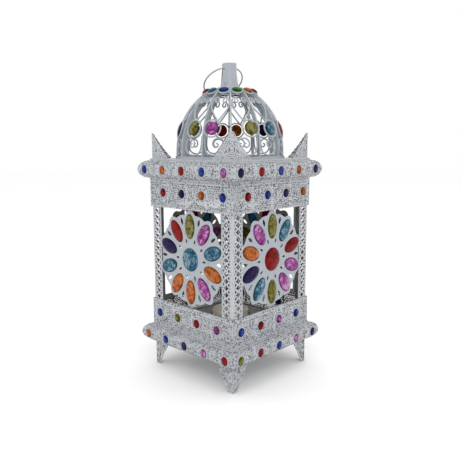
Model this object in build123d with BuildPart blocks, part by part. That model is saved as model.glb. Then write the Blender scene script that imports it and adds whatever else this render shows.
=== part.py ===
from build123d import *
import math
import os

# Candle lantern of thin pressed sheet steel, painted white and set with glass jewels.
# Millimetres, +Z up. Origin: centre of the square plan, level with the tips of the feet.
# Side 0 is the front (-Y), then side 1 the right (+X), 2 the back (+Y) and 3 the left (-X).

# ---- driving dimensions ----
TOTAL_HEIGHT = 457.0
SHEET = 1.2
SIDE_NAMES = ["front", "right", "back", "left"]
CORNER_NAMES = ["front_right", "back_right", "back_left", "front_left"]

# square body
BAND_FACE = 85.0
BAND_SHEET = 1.6
POST_FACE = BAND_FACE - BAND_SHEET
POST_WIDTH = 20.2
RAIL_RADIUS = 13.1
LOWER_RAIL_HEIGHT = 51.8
UPPER_RAIL_HEIGHT = 304.2
LOWER_BAND_TOP = 105.7
UPPER_BAND_BOTTOM = 248.8
FOOT_JOIN = 50.0
BASE_PLATE_TOP = 65.5
BASE_PLATE_SHEET = 1.5
TOP_PLATE_TOP = 320.0
TOP_PLATE_SHEET = 2.5
TOP_OPENING_RADIUS = 70.0
BODY_TOP = TOP_PLATE_TOP - TOP_PLATE_SHEET

# corner leaves
HORN_FACE = 82.7
HORN_HEIGHT = 37.3
HORN_BASE = 38.0
HORN_TIP = 2.5
FOOT_SHOULDER = 38.0
FOOT_WIDTH = 32.0
FOOT_TIP = 9.0

# flower windows
WINDOW_WIDTH = 2 * (POST_FACE - POST_WIDTH)
WINDOW_HEIGHT = UPPER_BAND_BOTTOM - LOWER_BAND_TOP
WINDOW_CENTRE = (UPPER_BAND_BOTTOM + LOWER_BAND_TOP) / 2
PANEL_LAP = 7.0
PETALS = 10
PETAL_RADIUS = 48.0
PETAL_LENGTH = 47.4
PETAL_WIDTH = 26.0
FLOWER_DISC = 66.0

# jewels: width across and height along the long way, and how far they stand out
RAIL_JEWEL = (12.0, 13.0)
BAND_JEWEL = (12.0, 12.6)
PETAL_JEWEL = (20.0, 35.5)
CENTRE_JEWEL = (33.0, 34.0)
DOME_JEWEL = (18.0, 19.5)
CROWN_JEWEL = (14.5, 12.0)
JEWEL_RISE = 3.4
JEWEL_TABLE = 0.62
JEWEL_LEDGE = 2.0
JEWEL_GAP = 0.2
RAIL_JEWEL_SEAT = 95.8
RAIL_JEWEL_RISE = 3.6
JEWEL_PITCH = 41.0
BAND_SHIFT = 6.7
LOWER_JEWEL_HEIGHT = 85.5
UPPER_JEWEL_HEIGHT = 270.8

# dome
DOME_RADIUS = 80.0
DOME_RISE = 97.0
DOME_CENTRE = 328.0
RIBS = 12
RIB_DEPTH = 7.0
RIB_THICKNESS = 2.0
RIB_FIRST_ANGLE = 45.0
BASE_RING_HEIGHT = 3.5
CROWN_RADIUS = 24.0
CROWN_BOTTOM = 414.0
CROWN_BORE = 10.0
STEM_BOTTOM = 424.0
STEM_BOTTOM_RADIUS = 14.0
STEM_TOP_RADIUS = 11.75
WIRE = 2.2
LOWER_RING_HEIGHT = 362.0
LOWER_RING_RADIUS = 12.2
UPPER_RING_HEIGHT = 415.2
UPPER_RING_RADIUS = 7.1
# degrees that each lower ring and its jewel stand to one side of their bay's middle
RING_SHIFTS = [6, 2, 0, 0, 0, 6, -6, 0, 0, 0, 2.5, -5]
HEART_BOTTOM = 372.0
HEART_TOP = 408.5
SCROLL_PLANE_RADIUS = 76.0

# hanging ring
BAIL_RADIUS = 30.0
BAIL_WIRE_RADIUS = 1.1
BAIL_HOLE_RADIUS = 2.0
BAIL_PIVOT_HEIGHT = 450.0
BAIL_HOLE_ANGLE = 71.3
BAIL_CHORD = 11.6
BAIL_LEAN = 39.0

# door in the back window
DOOR_GAP = 0.3
DOOR_LAP = 2.8
DOOR_BORDER = 5.5
DOOR_FRAME_GAP = 1.0
DOOR_FRAME_DEPTH = 3.0
HINGE_AXIS = (-68.5, 86.0)
HINGE_HEIGHTS = [132.0, 222.5]
KNUCKLE_RADIUS = 2.2
PIN_RADIUS = 1.1
PIN_CLEARANCE = 0.05
KNUCKLE_LENGTH = 7.0
KNUCKLE_GAP = 0.3
PIN_HEAD_RADIUS = 1.9
LEAF_WIDTH = 10.5

# turn button
BUTTON_X = 73.0
BUTTON_LENGTH = 20.0
BUTTON_WIDTH = 8.0
RIVET_RADIUS = 1.5
RIVET_HEAD_RADIUS = 3.2
RIVET_SHOULDER = 1.8
RIVET_HEAD_HEIGHT = 1.3

# candle
CUP_RADIUS = 32.0
CUP_HEIGHT = 13.0
CANDLE_RADIUS = 28.0
CANDLE_HEIGHT = 21.0
WICK_RADIUS = 0.8
WICK_HEIGHT = 6.5
WICK_SOCKET = 4.0

# colours of the jewels, left to right along each side as seen from outside
UPPER_RAIL_COLOURS = [
    ["blue", "orange", "red", "blue", "pink"],
    ["purple", "red", "blue", "orange", "purple"],
    ["orange", "blue", "pink", "red", "blue"],
    ["red", "blue", "orange", "pink", "purple"],
]
UPPER_BAND_COLOURS = [
    ["red", "purple", "orange", "blue"],
    ["red", "blue", "purple", "orange"],
    ["blue", "orange", "red", "purple"],
    ["orange", "red", "blue", "pink"],
]
LOWER_BAND_COLOURS = [
    ["blue", "olive", "red", "pink"],
    ["blue", "red", "pink", "blue"],
    ["red", "blue", "olive", "pink"],
    ["pink", "blue", "red", "olive"],
]
LOWER_RAIL_COLOURS = [
    ["orange", "blue", "purple", "pink", "red"],
    ["olive", "red", "blue", "pink", "purple"],
    ["red", "pink", "olive", "blue", "orange"],
    ["purple", "red", "blue", "orange", "pink"],
]
# each flower: the centre, then its petals clockwise from the top
FLOWER_COLOURS = [
    ["teal", "olive", "pink", "teal", "orange", "pink", "orange", "orange", "teal", "purple", "red"],
    ["red", "olive", "teal", "red", "pink", "pink", "olive", "teal", "purple", "orange", "pink"],
    ["pink", "red", "teal", "olive", "orange", "blue", "pink", "red", "teal", "olive", "purple"],
    ["olive", "red", "orange", "teal", "pink", "red", "purple", "olive", "orange", "pink", "teal"],
]
# the dome's two rows, anticlockwise seen from above, from the bay right of the front right rib
LOWER_DOME_COLOURS = ["olive", "teal", "red", "blue", "purple", "orange",
                      "red", "purple", "teal", "purple", "olive", "pink"]
UPPER_DOME_COLOURS = ["green", "orange", "red", "blue", "orange", "red",
                      "teal", "blue", "pink", "red", "teal", "blue"]
COLOURS = ["red", "orange", "pink", "blue", "purple", "teal", "olive", "green"]
BACK = 2


def save(piece, label):
    """Name a finished piece and write it to its own file."""
    piece.part.label = label
    export_step(piece.part, f"parts/{label}.step")


def side_plane(side, distance, height=0.0):
    """Plane of one side: x runs to the right seen from outside, y up and z outwards."""
    turn = math.radians(90 * side)
    outward = Vector(math.sin(turn), -math.cos(turn), 0)
    return Plane(
        origin=outward * distance + Vector(0, 0, height),
        x_dir=(math.cos(turn), math.sin(turn), 0),
        z_dir=outward,
    )


def mitre(side):
    """Cut the open part's two ends on the diagonals of the square."""
    for away in (45, 135):
        turn = math.radians(away + 90 * side)
        split(bisect_by=Plane(origin=(0, 0, 0), z_dir=(math.cos(turn), math.sin(turn), 0)), keep=Keep.BOTTOM)


def dome_radius(height, inset=0.0):
    """Radius of the dome's outline at a height, or of the line an inset inside it."""
    rise = (height - DOME_CENTRE) / (DOME_RISE - inset)
    return (DOME_RADIUS - inset) * math.sqrt(1 - rise * rise)


def dome_plane(angle, height):
    """Plane touching the dome at an angle and a height: x runs round it and y up it."""
    radius = dome_radius(height)
    slope = Vector(radius / DOME_RADIUS**2, 0, (height - DOME_CENTRE) / DOME_RISE**2)
    turn = math.radians(angle)
    outward = Vector(slope.X * math.cos(turn), slope.X * math.sin(turn), slope.Z)
    return Plane(
        origin=(radius * math.cos(turn), radius * math.sin(turn), height),
        x_dir=(-math.sin(turn), math.cos(turn), 0),
        z_dir=outward,
    )


def bay_angles():
    """Angle of the middle of each bay between two ribs."""
    step = 360 / RIBS
    return [RIB_FIRST_ANGLE - 90 + step * (bay + 0.5) for bay in range(RIBS)]


def make_rail(name, side, height):
    """Half-round moulding along one side, with a hole for each jewel."""
    along = side_plane(side, BAND_FACE, height)
    reach = BAND_FACE + RAIL_RADIUS
    section = Plane(origin=along.origin - along.x_dir * reach, x_dir=along.z_dir, z_dir=along.x_dir)
    bore = RAIL_RADIUS - SHEET
    with BuildPart() as rail:
        with BuildSketch(section):
            with BuildLine():
                CenterArc((0, 0), RAIL_RADIUS, -90, 180)
                Line((0, RAIL_RADIUS), (0, bore))
                CenterArc((0, 0), bore, -90, 180)
                Line((0, -bore), (0, -RAIL_RADIUS))
            make_face()
        extrude(amount=2 * reach)
        mitre(side)
        with BuildSketch(side_plane(side, BAND_FACE, height)):
            with GridLocations(JEWEL_PITCH, 1, 5, 1):
                Ellipse(RAIL_JEWEL[0] / 2 + JEWEL_GAP, RAIL_JEWEL[1] / 2 + JEWEL_GAP)
        extrude(amount=2 * RAIL_RADIUS, mode=Mode.SUBTRACT)
    save(rail, f"{name}_{SIDE_NAMES[side]}")


def make_band(name, side, bottom, top):
    """Flat strip along one side, behind the rail and round the ends of the posts."""
    with BuildPart() as band:
        with BuildSketch(side_plane(side, BAND_FACE, (bottom + top) / 2)):
            Rectangle(2 * BAND_FACE, top - bottom)
        extrude(amount=-BAND_SHEET)
        mitre(side)
    save(band, f"{name}_{SIDE_NAMES[side]}")


def make_corner_post(corner):
    """Folded angle that joins the lower bands to the upper ones at one corner."""
    with BuildPart() as post:
        with BuildSketch(Plane.XY.offset(FOOT_JOIN)):
            with BuildLine(Rotation(0, 0, 90 * corner - 90)):
                inner = POST_FACE - SHEET
                edge = POST_FACE - POST_WIDTH
                Polyline((POST_FACE, POST_FACE), (edge, POST_FACE), (edge, inner), (inner, inner),
                         (inner, edge), (POST_FACE, edge), close=True)
            make_face()
        extrude(amount=BODY_TOP - FOOT_JOIN)
    save(post, f"corner_post_{CORNER_NAMES[corner]}")


def make_horn(corner):
    """Triangular leaf folded round one corner of the top plate."""
    with BuildPart() as horn:
        for side, hand in ((corner, 1), (corner + 1, -1)):
            with BuildSketch(side_plane(side, HORN_FACE)):
                with BuildLine():
                    Polyline(
                        (hand * HORN_FACE, TOP_PLATE_TOP),
                        (hand * HORN_FACE, TOP_PLATE_TOP + HORN_HEIGHT),
                        (hand * (HORN_FACE - HORN_TIP), TOP_PLATE_TOP + HORN_HEIGHT),
                        (hand * (HORN_FACE - HORN_BASE), TOP_PLATE_TOP),
                        close=True,
                    )
                make_face()
            extrude(amount=-SHEET)
    save(horn, f"horn_{CORNER_NAMES[corner]}")


def make_foot(corner):
    """Pointed leaf folded round one corner, from inside the lower band down to the ground."""
    shoulder = POST_FACE - FOOT_WIDTH
    tip = POST_FACE - FOOT_TIP
    with BuildPart() as foot:
        for side, hand in ((corner, 1), (corner + 1, -1)):
            with BuildSketch(side_plane(side, POST_FACE)):
                with BuildLine():
                    Line((hand * POST_FACE, 0), (hand * tip, 0))
                    ThreePointArc((hand * tip, 0), (hand * (tip - 9.5), 19), (hand * shoulder, FOOT_SHOULDER))
                    Polyline(
                        (hand * shoulder, FOOT_SHOULDER),
                        (hand * shoulder, FOOT_JOIN),
                        (hand * POST_FACE, FOOT_JOIN),
                        (hand * POST_FACE, 0),
                    )
                make_face()
            extrude(amount=-SHEET)
    save(foot, f"foot_{CORNER_NAMES[corner]}")


def draw_petals():
    """Outline of the flower with an open seat under each jewel."""
    with PolarLocations(PETAL_RADIUS, PETALS, start_angle=90):
        Ellipse(PETAL_LENGTH / 2, PETAL_WIDTH / 2)
    Circle(FLOWER_DISC)
    with PolarLocations(PETAL_RADIUS, PETALS, start_angle=90):
        Ellipse(PETAL_JEWEL[1] / 2 - JEWEL_LEDGE, PETAL_JEWEL[0] / 2 - JEWEL_LEDGE, mode=Mode.SUBTRACT)
    Ellipse(CENTRE_JEWEL[0] / 2 - JEWEL_LEDGE, CENTRE_JEWEL[1] / 2 - JEWEL_LEDGE, mode=Mode.SUBTRACT)


def make_flower_panel(side):
    """Pressed flower in a border that is soldered behind the posts and bands."""
    with BuildPart() as panel:
        with BuildSketch(side_plane(side, POST_FACE - SHEET, WINDOW_CENTRE)):
            Rectangle(WINDOW_WIDTH + 2 * PANEL_LAP, WINDOW_HEIGHT + 2 * PANEL_LAP)
            Rectangle(WINDOW_WIDTH, WINDOW_HEIGHT, mode=Mode.SUBTRACT)
            draw_petals()
        extrude(amount=-SHEET)
    save(panel, f"flower_panel_{SIDE_NAMES[side]}")


def make_jewels(label, seats):
    """One solid for each seat: an oval stone with a sloping edge and a flat table."""
    with BuildPart() as jewels:
        for plane, size, _ in seats:
            rise = RAIL_JEWEL_RISE if size == RAIL_JEWEL else JEWEL_RISE
            with BuildSketch(plane):
                Ellipse(size[0] / 2, size[1] / 2)
            with BuildSketch(plane.offset(rise)):
                Ellipse(JEWEL_TABLE * size[0] / 2, JEWEL_TABLE * size[1] / 2)
            loft()
    save(jewels, label)


def flower_seats(side, distance, colours):
    """Seat plane, size and colour of each jewel of one flower."""
    middle = side_plane(side, distance, WINDOW_CENTRE)
    seats = [(middle, CENTRE_JEWEL, colours[0])]
    for petal in range(PETALS):
        turn = math.radians(petal * 360 / PETALS)
        outward = middle.x_dir * math.sin(turn) + middle.y_dir * math.cos(turn)
        across = middle.x_dir * math.cos(turn) - middle.y_dir * math.sin(turn)
        seat = Plane(origin=middle.origin + outward * PETAL_RADIUS, x_dir=across, z_dir=middle.z_dir)
        seats.append((seat, PETAL_JEWEL, colours[petal + 1]))
    return seats


def strip_seats(side, distance, height, shift, size, colours):
    """Seat plane, size and colour of each jewel in one row along a side."""
    seats = []
    for place, colour in enumerate(colours):
        along = (place - (len(colours) - 1) / 2) * JEWEL_PITCH + shift
        plane = side_plane(side, distance, height)
        seats.append((Plane(origin=plane.origin + plane.x_dir * along, x_dir=plane.x_dir, z_dir=plane.z_dir),
                      size, colour))
    return seats


def fixed_seats():
    """Every jewel that is fixed to the body, rails first and the dome last."""
    seats = []
    for side in range(4):
        seats += strip_seats(side, RAIL_JEWEL_SEAT, UPPER_RAIL_HEIGHT, 0, RAIL_JEWEL, UPPER_RAIL_COLOURS[side])
        seats += strip_seats(side, RAIL_JEWEL_SEAT, LOWER_RAIL_HEIGHT, 0, RAIL_JEWEL, LOWER_RAIL_COLOURS[side])
        seats += strip_seats(side, BAND_FACE, UPPER_JEWEL_HEIGHT, BAND_SHIFT, BAND_JEWEL, UPPER_BAND_COLOURS[side])
        seats += strip_seats(side, BAND_FACE, LOWER_JEWEL_HEIGHT, -BAND_SHIFT, BAND_JEWEL, LOWER_BAND_COLOURS[side])
        if side != BACK:
            seats += flower_seats(side, POST_FACE - SHEET, FLOWER_COLOURS[side])
    for bay, angle in enumerate(bay_angles()):
        shifted = dome_plane(angle + RING_SHIFTS[bay], LOWER_RING_HEIGHT)
        seats.append((shifted, DOME_JEWEL, LOWER_DOME_COLOURS[bay]))
        on_ring = dome_plane(angle, UPPER_RING_HEIGHT).offset(WIRE / 2)
        seats.append((on_ring, CROWN_JEWEL, UPPER_DOME_COLOURS[bay]))
    return seats


def make_fixed_jewels():
    """The jewels of the body and the dome, those of one colour together."""
    seats = fixed_seats()
    for colour in COLOURS:
        make_jewels(f"jewels_{colour}", [seat for seat in seats if seat[2] == colour])


def make_base_plate():
    """Square floor of the candle chamber, between the posts."""
    inner = 2 * (POST_FACE - SHEET)
    with BuildPart() as plate:
        with BuildSketch(Plane.XY.offset(BASE_PLATE_TOP - BASE_PLATE_SHEET)):
            Rectangle(inner, inner)
        extrude(amount=BASE_PLATE_SHEET)
    save(plate, "base_plate")


def make_top_plate():
    """Square roof with a round opening under the dome."""
    with BuildPart() as plate:
        with BuildSketch(Plane.XY.offset(BODY_TOP)):
            Rectangle(2 * BAND_FACE, 2 * BAND_FACE)
            Circle(TOP_OPENING_RADIUS, mode=Mode.SUBTRACT)
        extrude(amount=TOP_PLATE_SHEET)
    save(plate, "top_plate")


def make_dome_base_ring():
    """Flat ring on the top plate that carries the ribs."""
    with BuildPart() as ring:
        with BuildSketch(Plane.XY.offset(TOP_PLATE_TOP)):
            Circle(DOME_RADIUS + 1)
            Circle(DOME_RADIUS - RIB_DEPTH - 1, mode=Mode.SUBTRACT)
        extrude(amount=BASE_RING_HEIGHT)
    save(ring, "dome_base_ring")


def make_dome_ribs():
    """Flat strips on edge, bent to the outline of the dome."""
    foot = TOP_PLATE_TOP + BASE_RING_HEIGHT
    inner = (DOME_RADIUS - RIB_DEPTH, DOME_RISE - RIB_DEPTH)
    with BuildPart() as ribs:
        for rib in range(RIBS):
            turn = math.radians(RIB_FIRST_ANGLE + 360 * rib / RIBS)
            outward = Vector(math.cos(turn), math.sin(turn), 0)
            flat = Plane(origin=(0, 0, 0), x_dir=outward, z_dir=outward.cross(Vector(0, 0, 1)))
            with BuildSketch(flat):
                with BuildLine():
                    Line((inner[0], foot), (DOME_RADIUS, foot))
                    Line((DOME_RADIUS, foot), (DOME_RADIUS, DOME_CENTRE))
                    EllipticalCenterArc((0, DOME_CENTRE), DOME_RADIUS, DOME_RISE, start_angle=0, arc_size=90)
                    Line((0, DOME_CENTRE + DOME_RISE), (0, DOME_CENTRE + inner[1]))
                    EllipticalCenterArc((0, DOME_CENTRE), inner[0], inner[1], start_angle=0, arc_size=90)
                    Line((inner[0], DOME_CENTRE), (inner[0], foot))
                make_face()
            extrude(amount=RIB_THICKNESS / 2, both=True)
        Cylinder(CROWN_RADIUS, 2 * TOTAL_HEIGHT, mode=Mode.SUBTRACT)
    save(ribs, "dome_ribs")


def make_heart_scrolls():
    """Heart of bent wire in each bay, above the lower row of jewels."""
    low = Vector(dome_radius(HEART_BOTTOM, WIRE), 0, HEART_BOTTOM)
    high = Vector(dome_radius(HEART_TOP, WIRE), 0, HEART_TOP)
    slope = (high - low).normalized()
    with BuildPart() as hearts:
        for angle in bay_angles():
            turn = math.radians(angle)
            origin = Vector(low.X * math.cos(turn), low.X * math.sin(turn), low.Z)
            round_dome = Vector(-math.sin(turn), math.cos(turn), 0)
            up_dome = Vector(slope.X * math.cos(turn), slope.X * math.sin(turn), slope.Z)
            with BuildSketch(Plane(origin=origin, x_dir=round_dome, z_dir=round_dome.cross(up_dome))):
                for hand in (1, -1):
                    with BuildLine():
                        arm = Line((0, 0), (hand * 8, 9.6))
                        side = TangentArc(arm @ 1, (hand * 13.1, 22), tangent=arm % 1)
                        shoulder = TangentArc(side @ 1, (hand * 9.6, 34.5), tangent=side % 1)
                        lobe = TangentArc(shoulder @ 1, (hand * 2.2, 36), tangent=shoulder % 1)
                        TangentArc(lobe @ 1, (hand * 6.6, 34.2), tangent=lobe % 1)
                    trace(line_width=WIRE)
            extrude(amount=WIRE / 2, both=True)
    save(hearts, "dome_heart_scrolls")


def make_lower_scrolls():
    """C-scroll of bent wire at the foot of each bay, in mirrored pairs about every other rib."""
    with BuildPart() as scrolls:
        for bay, angle in enumerate(bay_angles()):
            hand = 1 if bay % 2 == 0 else -1
            turn = math.radians(angle)
            outward = Vector(math.cos(turn), math.sin(turn), 0)
            foot = TOP_PLATE_TOP + BASE_RING_HEIGHT
            origin = outward * SCROLL_PLANE_RADIUS + Vector(0, 0, foot + WIRE / 2 + JEWEL_GAP)
            round_dome = Vector(-math.sin(turn), math.cos(turn), 0)
            with BuildSketch(Plane(origin=origin, x_dir=round_dome, z_dir=outward)):
                with BuildLine():
                    tail = Line((hand * 18.2, 26), (hand * 18.2, 14))
                    heel = TangentArc(tail @ 1, (hand * 4, 0), tangent=tail % 1)
                    belly = TangentArc(heel @ 1, (hand * -9, 14), tangent=heel % 1)
                    top = TangentArc(belly @ 1, (hand * 7, 16), tangent=belly % 1)
                    TangentArc(top @ 1, (hand * -1.5, 14.5), tangent=top % 1)
                trace(line_width=WIRE)
            extrude(amount=WIRE / 2, both=True)
    save(scrolls, "dome_lower_scrolls")


def make_jewel_rings():
    """Round wire about each jewel of the dome's two rows."""
    with BuildPart() as rings:
        for shift, angle in zip(RING_SHIFTS, bay_angles()):
            with Locations(dome_plane(angle + shift, LOWER_RING_HEIGHT)):
                Torus(LOWER_RING_RADIUS, WIRE / 2)
            with Locations(dome_plane(angle, UPPER_RING_HEIGHT)):
                Torus(UPPER_RING_RADIUS, WIRE / 2)
    save(rings, "dome_jewel_rings")


def make_crown():
    """Turned collar at the top of the dome that joins the ribs to the stem."""
    shoulder = DOME_CENTRE + DOME_RISE * math.sqrt(1 - (CROWN_RADIUS / DOME_RADIUS) ** 2)
    with BuildPart() as crown:
        with BuildSketch(Plane.XZ):
            with BuildLine():
                Polyline(
                    (CROWN_BORE, CROWN_BOTTOM),
                    (CROWN_RADIUS, CROWN_BOTTOM),
                    (CROWN_RADIUS, shoulder),
                    (STEM_BOTTOM_RADIUS, STEM_BOTTOM),
                    (CROWN_BORE, STEM_BOTTOM),
                    close=True,
                )
            make_face()
        revolve(axis=Axis.Z)
    save(crown, "dome_crown")


def bail_direction():
    """Direction of the line through the two holes in the stem."""
    turn = math.radians(BAIL_HOLE_ANGLE)
    return Vector(math.cos(turn), math.sin(turn), 0)


def make_stem_tube():
    """Rolled, slightly tapered tube with a hole on each side for the hanging ring."""
    with BuildPart() as stem:
        with BuildSketch(Plane.XZ):
            with BuildLine():
                Polyline(
                    (STEM_BOTTOM_RADIUS - SHEET, STEM_BOTTOM),
                    (STEM_BOTTOM_RADIUS, STEM_BOTTOM),
                    (STEM_TOP_RADIUS, TOTAL_HEIGHT),
                    (STEM_TOP_RADIUS - SHEET, TOTAL_HEIGHT),
                    close=True,
                )
            make_face()
        revolve(axis=Axis.Z)
        with BuildSketch(Plane(origin=(0, 0, BAIL_PIVOT_HEIGHT), z_dir=bail_direction())):
            Circle(BAIL_HOLE_RADIUS)
        extrude(amount=STEM_BOTTOM_RADIUS, both=True, mode=Mode.SUBTRACT)
    save(stem, "stem_tube")


def make_bail_ring():
    """Round wire ring through the stem's holes, leaning back on the dome."""
    along = bail_direction()
    lean = math.radians(BAIL_LEAN)
    sideways = Vector(0, 0, 1).cross(along)
    reach = math.sqrt(BAIL_RADIUS**2 - BAIL_CHORD**2)
    down = sideways * math.cos(lean) - Vector(0, 0, math.sin(lean))
    centre = Vector(0, 0, BAIL_PIVOT_HEIGHT) + down * reach
    with BuildPart() as ring:
        with Locations(Plane(origin=centre, x_dir=along, z_dir=along.cross(down))):
            Torus(BAIL_RADIUS, BAIL_WIRE_RADIUS)
    save(ring, "bail_ring")


def make_candle():
    """Cup on the base plate, the wax in it, and the wick."""
    floor = BASE_PLATE_TOP + SHEET
    with BuildPart() as cup:
        with BuildSketch(Plane.XY.offset(BASE_PLATE_TOP)):
            Circle(CUP_RADIUS)
        extrude(amount=CUP_HEIGHT)
        with BuildSketch(Plane.XY.offset(floor)):
            Circle(CUP_RADIUS - SHEET)
        extrude(amount=CUP_HEIGHT, mode=Mode.SUBTRACT)
    save(cup, "candle_cup")
    wax_top = floor + CANDLE_HEIGHT
    with BuildPart() as wax:
        with BuildSketch(Plane.XY.offset(floor)):
            Circle(CANDLE_RADIUS)
        extrude(amount=CANDLE_HEIGHT)
        chamfer(wax.edges().group_by(Axis.Z)[-1], SHEET)
        with BuildSketch(Plane.XY.offset(wax_top)):
            Circle(WICK_RADIUS)
        extrude(amount=-WICK_SOCKET, mode=Mode.SUBTRACT)
    save(wax, "candle")
    with BuildPart() as wick:
        with BuildSketch(Plane.XY.offset(wax_top - WICK_SOCKET)):
            Circle(WICK_RADIUS)
        extrude(amount=WICK_SOCKET + WICK_HEIGHT)
    save(wick, "wick")


def make_door():
    """Pressed flower that overlaps the posts, the stiffening frame behind it, and its jewels."""
    inner_face = POST_FACE + DOOR_GAP
    width = WINDOW_WIDTH + 2 * DOOR_LAP
    height = WINDOW_HEIGHT - 1
    with BuildPart() as panel:
        with BuildSketch(side_plane(BACK, inner_face, WINDOW_CENTRE)):
            Rectangle(width, height)
            Rectangle(width - 2 * DOOR_BORDER, height - 2 * DOOR_BORDER, mode=Mode.SUBTRACT)
            draw_petals()
            Rectangle(width, height, mode=Mode.INTERSECT)
        extrude(amount=SHEET)
    save(panel, "door_panel")
    frame_width = WINDOW_WIDTH - 2 * DOOR_FRAME_GAP
    frame_height = WINDOW_HEIGHT - 2 * DOOR_FRAME_GAP
    with BuildPart() as frame:
        with BuildSketch(side_plane(BACK, inner_face, WINDOW_CENTRE)):
            Rectangle(frame_width, frame_height)
            Rectangle(frame_width - 2 * DOOR_FRAME_DEPTH, frame_height - 2 * DOOR_FRAME_DEPTH, mode=Mode.SUBTRACT)
        extrude(amount=-DOOR_FRAME_DEPTH)
    save(frame, "door_frame")
    make_jewels("door_jewels", flower_seats(BACK, inner_face + SHEET, FLOWER_COLOURS[BACK]))


def knuckle_spans(height):
    """Bottom and top of a hinge's three knuckles; the middle one is the door's."""
    step = KNUCKLE_LENGTH + KNUCKLE_GAP
    return [(height + step * (place - 1) - KNUCKLE_LENGTH / 2, height + step * (place - 1) + KNUCKLE_LENGTH / 2)
            for place in range(3)]


def make_hinges():
    """Two butt hinges on the left edge of the door, seen from inside, with their pins."""
    axis = HINGE_AXIS
    door_face = POST_FACE + DOOR_GAP + SHEET
    fixed_edge = axis[0] - KNUCKLE_RADIUS - 2 * DOOR_GAP
    moving_edge = axis[0] + (PIN_RADIUS + KNUCKLE_RADIUS) / 2
    with BuildPart() as fixed:
        for height in HINGE_HEIGHTS:
            spans = knuckle_spans(height)
            for bottom, top in (spans[0], spans[2]):
                with BuildSketch(Plane.XY.offset(bottom)):
                    with Locations(axis):
                        Circle(KNUCKLE_RADIUS)
                    with Locations((axis[0], POST_FACE)):
                        Rectangle(LEAF_WIDTH, SHEET, align=(Align.MAX, Align.MIN))
                    with Locations(axis):
                        Circle(PIN_RADIUS + PIN_CLEARANCE, mode=Mode.SUBTRACT)
                extrude(amount=top - bottom)
            with BuildSketch(Plane.XY.offset(spans[0][0])):
                with Locations((fixed_edge, POST_FACE)):
                    Rectangle(fixed_edge - axis[0] + LEAF_WIDTH, SHEET, align=(Align.MAX, Align.MIN))
            extrude(amount=spans[2][1] - spans[0][0])
    save(fixed, "hinge_leaves_fixed")
    with BuildPart() as moving:
        for height in HINGE_HEIGHTS:
            bottom, top = knuckle_spans(height)[1]
            with BuildSketch(Plane.XY.offset(bottom)):
                with Locations(axis):
                    Circle(KNUCKLE_RADIUS)
                with Locations((moving_edge, door_face)):
                    Rectangle(LEAF_WIDTH - moving_edge + axis[0], SHEET, align=(Align.MIN, Align.MIN))
                with Locations(axis):
                    Circle(PIN_RADIUS + PIN_CLEARANCE, mode=Mode.SUBTRACT)
            extrude(amount=top - bottom)
    save(moving, "hinge_leaves_door")
    with BuildPart() as pins:
        for height in HINGE_HEIGHTS:
            spans = knuckle_spans(height)
            with BuildSketch(Plane.XY.offset(spans[0][0])):
                with Locations(axis):
                    Circle(PIN_RADIUS)
            extrude(amount=spans[2][1] - spans[0][0])
            with BuildSketch(Plane.XY.offset(spans[2][1])):
                with Locations(axis):
                    Circle(PIN_HEAD_RADIUS)
            extrude(amount=SHEET)
    save(pins, "hinge_pins")


def make_latch():
    """Turn button that swings over the edge of the door, on its shouldered rivet."""
    back_face = Plane(origin=(BUTTON_X, POST_FACE, WINDOW_CENTRE), x_dir=(1, 0, 0), z_dir=(0, 1, 0))
    button_back = RIVET_SHOULDER + DOOR_GAP / 3
    button_front = button_back + SHEET
    with BuildPart() as button:
        with BuildSketch(back_face.offset(button_back)):
            with Locations((0, BUTTON_LENGTH / 2 - BUTTON_WIDTH / 2)):
                SlotOverall(BUTTON_LENGTH, BUTTON_WIDTH, rotation=90)
            Circle(RIVET_RADIUS + PIN_CLEARANCE, mode=Mode.SUBTRACT)
        extrude(amount=SHEET)
    save(button, "latch_button")
    with BuildPart() as rivet:
        with BuildSketch(back_face):
            Circle(RIVET_HEAD_RADIUS)
        extrude(amount=RIVET_SHOULDER)
        with BuildSketch(back_face.offset(RIVET_SHOULDER)):
            Circle(RIVET_RADIUS)
        extrude(amount=button_front - RIVET_SHOULDER + DOOR_GAP / 3)
        with BuildSketch(back_face.offset(button_front + DOOR_GAP / 3)):
            Circle(RIVET_HEAD_RADIUS)
        extrude(amount=RIVET_HEAD_HEIGHT)
    save(rivet, "latch_rivet")


def main():
    os.makedirs("parts", exist_ok=True)
    for side in range(4):
        make_rail("lower_rail", side, LOWER_RAIL_HEIGHT)
        make_rail("upper_rail", side, UPPER_RAIL_HEIGHT)
        make_band("lower_band", side, LOWER_RAIL_HEIGHT - RAIL_RADIUS, LOWER_BAND_TOP)
        make_band("upper_band", side, UPPER_BAND_BOTTOM, BODY_TOP)
        if side != BACK:
            make_flower_panel(side)
    for corner in range(4):
        make_corner_post(corner)
        make_horn(corner)
        make_foot(corner)
    make_fixed_jewels()
    make_base_plate()
    make_top_plate()
    make_dome_base_ring()
    make_dome_ribs()
    make_heart_scrolls()
    make_lower_scrolls()
    make_jewel_rings()
    make_crown()
    make_stem_tube()
    make_bail_ring()
    make_candle()
    make_door()
    make_hinges()
    make_latch()


main()
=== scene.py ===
"""Candle lantern of pierced sheet steel painted white, set with coloured glass jewels."""

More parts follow.
